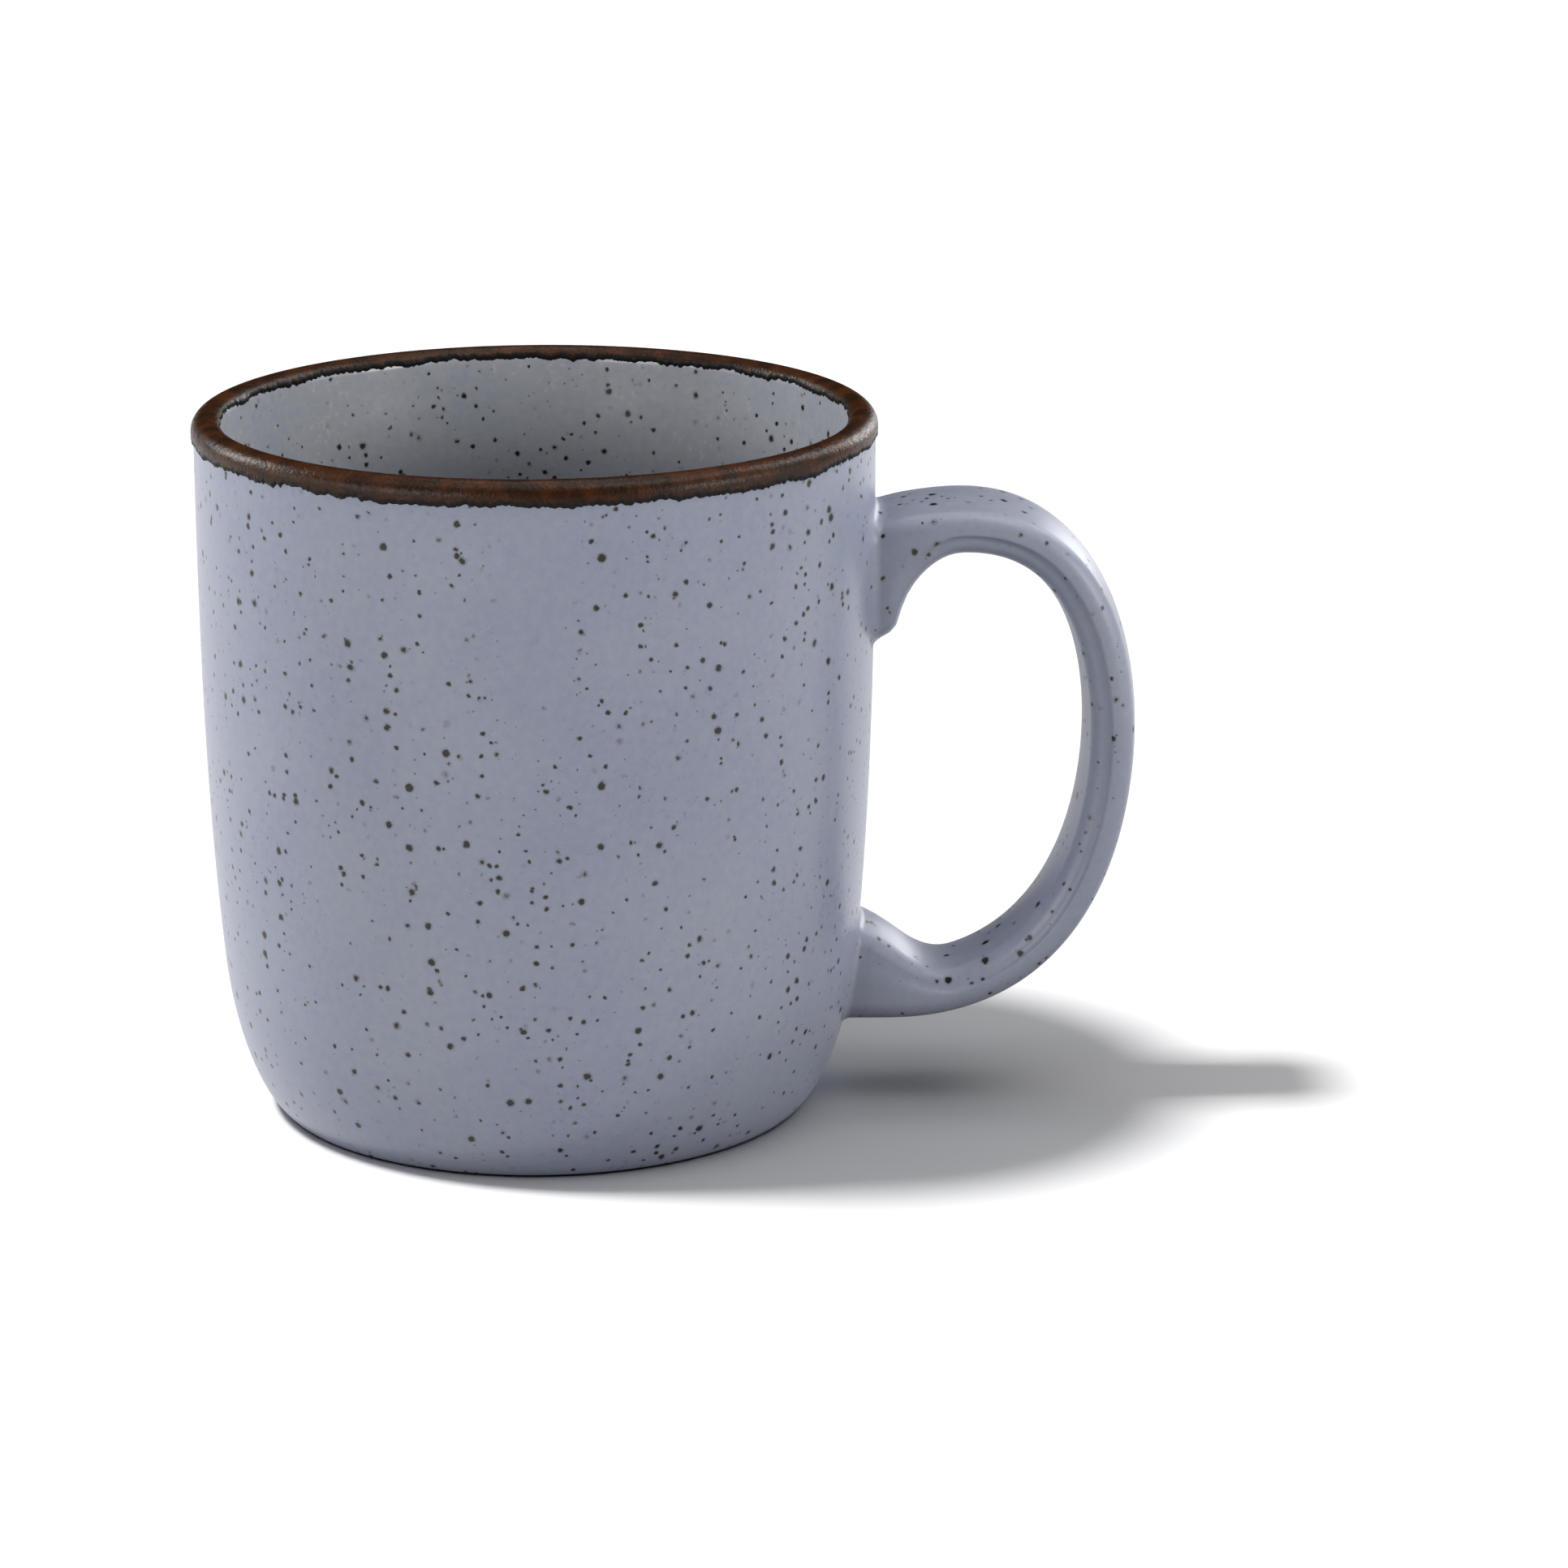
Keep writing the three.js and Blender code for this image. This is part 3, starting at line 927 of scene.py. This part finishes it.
def band_nodes(t, g, out):
    # Rows run over the face from one edge to the other, then back behind it.
    around = times(t, g["Rows"], 2.0)
    grid, column, row = grid_of(t, plus(t, g["Segments"], 1.0), plus(t, around, 1.0))
    share = calc(t, "DIVIDE", column, g["Segments"])
    angle = times(t, share, math.tau)
    behind = calc(t, "GREATER_THAN", row, g["Rows"])
    ahead = calc(t, "PINGPONG", row, g["Rows"])
    swing = times(t, calc(t, "DIVIDE", ahead, g["Rows"]), math.pi)
    over = times(t, minus(t, 1.0, calc(t, "COSINE", swing)), 0.5)
    circle = joined(t, calc(t, "COSINE", angle), calc(t, "SINE", angle), 0.0)
    circle = scaled(t, circle, g["Radius"])

    def ragged(side):
        spot = vec(t, "ADD", circle, joined(t, 0.0, 0.0, plus(t, g["Seed"], side)))

        def sway(per_mm, detail=0.0):
            return minus(t, noise(t, spot, per_mm, detail), 0.5)

        slow = times(t, plus(t, sway(0.09), sway(0.3)), times(t, g["Drip"], drip_gain))
        fast = times(t, plus(t, sway(0.8, 1.0), sway(2.0)), times(t, g["Fray"], fray_gain))
        return plus(t, slow, fast)

    path = add(t, "GeometryNodeMeshToCurve", {"Mesh": g["Geometry"]}).outputs["Curve"]
    length = add(t, "GeometryNodeCurveLength", {"Curve": path}).outputs["Length"]
    first = plus(t, band_spare * MM, ragged(0.0))
    last = minus(t, minus(t, length, band_spare * MM), ragged(0.2))
    span = minus(t, last, first)
    at = plus(t, first, times(t, over, span))
    sample = add(t, "GeometryNodeSampleCurve", mode="LENGTH")
    feed(t, sample.inputs["Curves"], path)
    feed(t, sample.inputs["Length"], at)
    outwards = vec(t, "CROSS_PRODUCT", (0.0, -1.0, 0.0), sample.outputs["Tangent"])
    outwards = vec(t, "NORMALIZE", outwards)

    # The face swells from the edges to its full height, and the back to its full depth.
    edge = times(t, span, calc(t, "MINIMUM", over, minus(t, 1.0, over)))
    swell = ramp(t, edge, 0.0, band_edge * MM)
    face = minus(t, times(t, swell, plus(t, g["Stand Proud"], g["Sunk"])), g["Sunk"])
    back = minus(t, times(t, swell, times(t, g["Depth"], -1.0)), g["Sunk"])
    off = plus(t, times(t, face, minus(t, 1.0, behind)), times(t, back, behind))
    spot = vec(t, "ADD", sample.outputs["Position"], scaled(t, outwards, off))
    along = times(t, calc(t, "DIVIDE", at, length), 0.9)
    mapped = two_strips(t, grid, share, plus(t, along, times(t, behind, 0.08)))
    mapped = stored(t, mapped, "from_edge", calc(t, "DIVIDE", edge, MM))
    finished(t, mapped, swung(t, spot, angle, g["Axis X"]), g["Material"], out)


band_nodes(band_tree, b_in.outputs, b_out)
print(f"{band_tree.name}: {len(band_tree.nodes)} nodes")

# %% Grow the band
band_outside, band_inside = 2.35, 0.8
outside_end = clay_height - band_outside - band_spare
inside_end = clay_height - band_inside - band_spare
band_line = [(outer_radius(z), z) for z in steps(10, outside_end, lip_centre_z)]
band_line += lip()[1:]
band_line += [(inner_radius(z), z) for z in steps(10, lip_centre_z, inside_end)][1:]
band = grown(
    "rim_band",
    outline_object("rim_band_outline", moved_off(band_line, coat)),
    band_tree,
    segments=1000,
    rows=26,
    axis_x=axis_x,
    radius=rim_radius * MM,
    drip=0.55 * MM,
    fray=0.35 * MM,
    stand_proud=0.03 * MM,
    sunk=0.02 * MM,
    depth=0.3 * MM,
    seed=0.5,
    material=iron_glaze,
)
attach(band, "root")
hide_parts("rim_glaze_band")

# %% [markdown]
# ## The handle's sizes and side view
# A handle is pulled from a lump of clay, so it is widest and thickest at its top root
# and tapers to the lower one. Seen from the side, its outer line runs level from the
# wall, over a crown, round the widest point and back under to the wall. The inner line
# follows it at the strap's thickness. At the top root it runs down the wall into a spur
# that a thumb has smoothed, and at the lower root it flares up the wall.

# %% Sizes of the handle
strap_low, strap_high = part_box("handle_strap")
handle_top_z = strap_high.z / MM
handle_bottom_z = strap_low.z / MM
handle_reach = (strap_high.x - axis_x) / MM
crown_width = (strap_high.y - strap_low.y) / MM
lowest_width = 14.5
crown_thickness, lowest_thickness = 4.7, 4.5
widest_below_crown = 29.9
crown_from_wall, lowest_from_wall = 12.0, 6.0
level_pull, upright_pull = 0.79, 0.42
upper_root_drop = 2.0
spur_depth, spur_reach, nub_round = 16.1, 3.4, 2.9
flare_height, flare_reach = 11.6, 15.0
strap_edge, root_edge = 1.9, 2.2
inner_taper = 0.12
upper_fillet, lower_fillet = 1.6, 0.9
# how far the control points of the roots' curves stand from the points that they steer
spur_lean, throat_lean, throat_rise, crown_pull = 0.4, 1.2, 2.1, 5.0
flare_pull, flare_sag, under_pull = 5.0, 1.6, 6.0
print(f"handle top {handle_top_z:.1f}, bottom {handle_bottom_z:.1f}, reach {handle_reach:.1f} mm")


# %% The strap's two lines
def bezier(points, count):
    """Points along a quadratic or cubic curve."""
    order = len(points) - 1
    made = []
    for t in steps(count, 0, 1):
        weights = [math.comb(order, i) * t**i * (1 - t) ** (order - i) for i in range(order + 1)]
        made.append(tuple(sum(w * p[axis] for w, p in zip(weights, points)) for axis in (0, 1)))
    return made


def resampled(points, count):
    """The same line with its points spread evenly along its length."""
    lengths = lengths_along(points)
    made = []
    for goal in steps(count, 0, lengths[-1]):
        i = max(j for j, length in enumerate(lengths[:-1]) if length <= goal + 1e-9)
        share = clamp((goal - lengths[i]) / max(lengths[i + 1] - lengths[i], 1e-9))
        made.append(tuple(blend(a, b, share) for a, b in zip(points[i], points[i + 1])))
    return made


upper_wall, lower_wall = outer_radius(handle_top_z), outer_radius(handle_bottom_z)
widest_z = handle_top_z - widest_below_crown
crown = (upper_wall + crown_from_wall, handle_top_z)
widest = (handle_reach, widest_z)
lowest = (lower_wall + lowest_from_wall, handle_bottom_z)


def strap_bend(level, upright, count):
    near = (blend(level[0], upright[0], level_pull), level[1])
    far = (upright[0], blend(upright[1], level[1], upright_pull))
    return bezier([level, near, far, upright], count)


outer = strap_bend(crown, widest, 60) + strap_bend(lowest, widest, 60)[::-1][1:]
thick_line = moved_off(outer, crown_thickness)
thin_line = moved_off(outer, lowest_thickness)
hole = [
    tuple(blend(a, b, i / (len(outer) - 1)) for a, b in zip(p, q))
    for i, (p, q) in enumerate(zip(thick_line, thin_line))
]
top_line = bezier(
    [(upper_wall, handle_top_z - upper_root_drop), ((upper_wall + crown[0]) / 2, handle_top_z), crown], 60
)

spur_x, spur_z = upper_wall + spur_reach, handle_top_z - spur_depth
nub = (spur_x + spur_lean, spur_z + nub_round)
throat = (spur_x + throat_lean, spur_z + throat_rise * nub_round)
spur_line = bezier([(upper_wall - coat, spur_z - 0.1), (spur_x, spur_z), nub], 20)
spur_line += bezier([nub, throat, (hole[0][0] - crown_pull, hole[0][1]), hole[0]], 60)[1:]

flare_from = lower_wall + flare_reach
flare_index = max(i for i, p in enumerate(hole) if p[1] > widest_z or p[0] > flare_from)
flare = hole[flare_index]
flare_top_z = handle_bottom_z + flare_height
flare_wall = outer_radius(flare_top_z)
flare_way = (Vector(flare) - Vector(hole[flare_index - 1])).normalized()
flare_line = bezier(
    [
        (flare_wall, flare_top_z),
        (flare_wall + flare_pull, flare_top_z - flare_sag),
        (flare[0] + under_pull * flare_way.x, flare[1] + under_pull * flare_way.y),
        flare,
    ],
    60,
)
under_line = [(lower_wall, handle_bottom_z)] + outer[flare_index:][::-1]
print(f"spur down to {spur_z:.1f} mm, flare up to {flare_top_z:.1f} mm")

# %% [markdown]
# ## The strap's section
# Cut across, the strap is a flat bar with round edges and crowned faces, a little narrower
# on the side where the fingers go. The tree that sweeps it gets the section as a ring of
# points that carry their place as shares of the half width and half thickness, and their
# direction where the edge is rounded. So one ring fits every station, however wide or
# thick the strap is there.


# %% The section ring
def section_ring(edge_steps=7, face_steps=10, side_steps=6):
    """(share across, share through, direction across, direction through) round the strap."""
    corners = [((1, 1), 0), ((-1, 1), 90), ((-1, -1), 180), ((1, -1), 270)]
    made = []
    for k, ((across, through), start) in enumerate(corners):
        for i in range(edge_steps + 1):
            a = math.radians(start + 90 * i / edge_steps)
            made.append((across, through, math.cos(a), math.sin(a)))
        (next_across, next_through), _ = corners[(k + 1) % 4]
        count = face_steps if next_through == through else side_steps
        a = math.radians(start + 90)
        for share in (i / count for i in range(1, count)):
            place = blend(across, next_across, share), blend(through, next_through, share)
            made.append((*place, math.cos(a), math.sin(a)))
    return made


ring = section_ring()
ring.append(ring[0])
section = line_object(
    "strap_section",
    [(0, 0, 0)] * len(ring),
    flat=[(a * (1 - inner_taper * max(-b, 0) ** 2), b, 0) for a, b, _, _ in ring],
    round=[(c, d, 0) for _, _, c, d in ring],
)
print(f"section: {len(ring) - 1} points round the strap")

# %% [markdown]
# ## Pulling the strap
# Blender's Curve to Mesh sweeps one section along one path, but this strap changes its
# width and thickness, and its ends have to flow onto a round wall. So the tree works as
# the turning tree does, on a grid of stations by section points. Stations near the wall
# also hug it: each point is sent straight at the cup, as a Raycast, and set down at a
# chosen distance off it. A few stations whose distance shrinks as they spread out make
# the concave fillet that a finger smooths into the slip.

# %% The strap tree
edge_limit = 0.96
ray_start, ray_length = 20, 100
strap_tree, s_in, s_out = new_tree(
    "pulled_strap",
    "GeometryNodeTree",
    {
        "Geometry": "Geometry",
        "Section": "Object",
        "Wall": "Object",
        "Spread": 0.0,
        "Crowning": 0.5 * MM,
        "Material": "Material",
    },
    {"Geometry": "Geometry"},
)


def strap_nodes(t, g, out):
    template = add(t, "GeometryNodeObjectInfo", {"Object": g["Section"]}).outputs["Geometry"]
    wall = add(t, "GeometryNodeObjectInfo", {"Object": g["Wall"]}).outputs["Geometry"]
    rows = point_count(t, template)
    stations = point_count(t, g["Geometry"])
    grid, column, row = grid_of(t, stations, rows)

    def of_station(name, kind="FLOAT"):
        return sampled(t, g["Geometry"], read_back(t, name, kind), column, kind)

    def of_section(name):
        value = sampled(t, template, read_back(t, name, "FLOAT_VECTOR"), row)
        made = add(t, "ShaderNodeSeparateXYZ", {"Vector": value})
        return made.outputs["X"], made.outputs["Y"]

    outer_spot = sampled(t, g["Geometry"], add(t, "GeometryNodeInputPosition").outputs[0], column)
    inner_spot = of_station("inner", "FLOAT_VECTOR")
    half_width, edge = of_station("half_width"), of_station("edge")
    spread, gap, hug = of_station("spread"), of_station("gap"), of_station("hug")
    flat_x, flat_y = of_section("flat")
    round_x, round_y = of_section("round")

    through = vec(t, "SUBTRACT", outer_spot, inner_spot)
    half_depth = times(t, vec(t, "LENGTH", through), 0.5)
    through = vec(t, "NORMALIZE", through)
    centre = scaled(t, vec(t, "ADD", outer_spot, inner_spot), 0.5)
    edge = calc(t, "MINIMUM", edge, times(t, half_depth, edge_limit))
    swell = plus(t, edge, plus(t, spread, g["Spread"]))
    across = times(t, flat_x, minus(t, half_width, edge))
    across = plus(t, across, times(t, round_x, swell))
    depth = times(t, flat_y, minus(t, half_depth, edge))
    depth = plus(t, depth, times(t, round_y, swell))
    crest = minus(t, 1.0, times(t, flat_x, flat_x))
    crest = times(t, times(t, crest, flat_y), g["Crowning"])
    depth = plus(t, depth, crest)
    spot = vec(t, "ADD", centre, scaled(t, through, depth))
    spot = vec(t, "ADD", spot, joined(t, 0.0, across, 0.0))

    ray = add(t, "GeometryNodeRaycast", {"Target Geometry": wall})
    feed(t, ray.inputs["Source Position"], vec(t, "ADD", spot, (ray_start * MM, 0.0, 0.0)))
    feed(t, ray.inputs["Ray Direction"], (-1.0, 0.0, 0.0))
    feed(t, ray.inputs["Ray Length"], ray_length * MM)
    on_wall = vec(t, "ADD", ray.outputs["Hit Position"], joined(t, gap, 0.0, 0.0))
    step = scaled(t, vec(t, "SUBTRACT", on_wall, spot), times(t, hug, ray.outputs["Is Hit"]))
    spot = vec(t, "ADD", spot, step)

    share = calc(t, "DIVIDE", column, minus(t, stations, 1.0))
    round_share = calc(t, "DIVIDE", row, minus(t, rows, 1.0))
    mapped = two_strips(t, grid, share, round_share)
    finished(t, mapped, spot, g["Material"], out)


strap_nodes(strap_tree, s_in.outputs, s_out)
print(f"{strap_tree.name}: {len(strap_tree.nodes)} nodes")


# %% Stations
Station = namedtuple("Station", "outer inner half_width edge spread gap hug")
fillet_steps, root_steps, loop_steps = 10, 14, 90
hug_until, hug_fade = 3.0, 5.0
into_wall, edge_reach = 0.3, 1.4


def half_width_at(z):
    share = (z - handle_bottom_z) / (handle_top_z - handle_bottom_z)
    return crown_width / 2 * blend(lowest_width / crown_width, 1, share)


def station(outer_point, inner_point, spread=0.0, gap=0.0, hug=0.0, edge=strap_edge):
    z = (outer_point[1] + inner_point[1]) / 2
    return Station(outer_point, inner_point, half_width_at(z), edge, spread, gap, hug)


def gap_of(p):
    """How far a point of the side view is from the glazed wall."""
    return p[0] - outer_radius(p[1]) - coat


def at_gap(line, gap):
    """The point at that distance from the wall, on a line that runs out from it."""
    for near, far in zip(line, line[1:]):
        if gap_of(far) >= gap:
            share = (gap - gap_of(near)) / max(gap_of(far) - gap_of(near), 1e-9)
            return tuple(blend(a, b, clamp(share)) for a, b in zip(near, far))
    return line[-1]


def root_stations(outer_root, inner_root, fillet, sunk=0.05):
    """Stations from the wall out to the loop: first the fillet, then the plain strap."""
    reaches = gap_of(outer_root[-1]), gap_of(inner_root[-1])
    mean_reach = sum(reaches) / 2
    made = []
    plan = [(-into_wall, fillet)]
    for a in steps(fillet_steps, math.pi / 2, 0):
        plan.append((fillet * (1 - math.sin(a)), fillet * (1 - math.cos(a))))
    plan += [(gap, 0.0) for gap in steps(root_steps, fillet, mean_reach)[1:]]
    for gap, spread in plan:
        share = max(gap, 0) / mean_reach
        outer_point = at_gap(outer_root, reaches[0] * share)
        inner_point = at_gap(inner_root, reaches[1] * share)
        hug = eased(1 - clamp((gap - hug_until) / hug_fade))
        drop = sunk * clamp(1 - gap / fillet) ** 4
        edge = blend(root_edge, strap_edge, clamp(gap / mean_reach * edge_reach))
        made.append(station(outer_point, inner_point, spread, gap - drop, hug, edge))
    return made


def strap_object(name, stations):
    def places(key):
        points = [getattr(s, key) for s in stations]
        return [(x * MM + axis_x, 0, z * MM) for x, z in points]

    def lengths(key):
        return [getattr(s, key) * MM for s in stations]

    sizes = {key: lengths(key) for key in ("half_width", "edge", "spread", "gap")}
    return line_object(name, places("outer"), inner=places("inner"), hug=[s.hug for s in stations], **sizes)


def strap_piece(name, stations, spread, crowning, material, node):
    piece = grown(
        name,
        strap_object(name + "_stations", stations),
        strap_tree,
        close_ends=True,
        section=section,
        wall=outer_coat,
        spread=spread * MM,
        crowning=crowning * MM,
        material=material,
    )
    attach(piece, "root")
    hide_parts(node)
    return piece


loop_outer = resampled(outer[: flare_index + 1], loop_steps)
loop_inner = resampled(hole[: flare_index + 1], loop_steps)
upper_root = root_stations(top_line, spur_line, upper_fillet)
lower_root = root_stations(under_line, flare_line, lower_fillet)
loop = [station(o, n) for o, n in zip(loop_outer, loop_inner)][1:-1]
print(f"handle: {len(upper_root) + len(loop) + len(lower_root)} stations")

# %% Pull the handle
clay_start = 1.2
coat_crowning, clay_crowning = 0.6, 0.5
coat_stations = upper_root + loop + lower_root[::-1]
strap_piece(
    "handle_coat", coat_stations, coat, coat_crowning, handle_glaze, "handle_glaze"
)
clay_upper = [s for s in upper_root if s.gap > clay_start]
clay_lower = [s for s in lower_root if s.gap > clay_start]
clay_stations = [s._replace(spread=0.0) for s in clay_upper + loop + clay_lower[::-1]]
strap_piece(
    "handle_clay", clay_stations, -glaze_clearance, clay_crowning, bare_clay, "handle_strap"
)

# %% [markdown]
# ## The beds of slip
# Slip glues each root to the wall. It is buried under the glaze and the fillet, but it is
# a piece of the mug, so it is made too, from the stations of the same strap that stand
# just off the wall, without the fillet's spread, closed at both ends.

# %% The slip beds
bed_from, bed_to = 0.15, 1.1
bed_spread = 0.1
for name, root in (("upper_slip", upper_root), ("lower_slip", lower_root)):
    bed = [s._replace(spread=0.0) for s in root if bed_from < s.gap < bed_to]
    strap_piece(name, bed, bed_spread, 0.0, slip_clay, name + "_joint")
bpy.data.objects.remove(section)
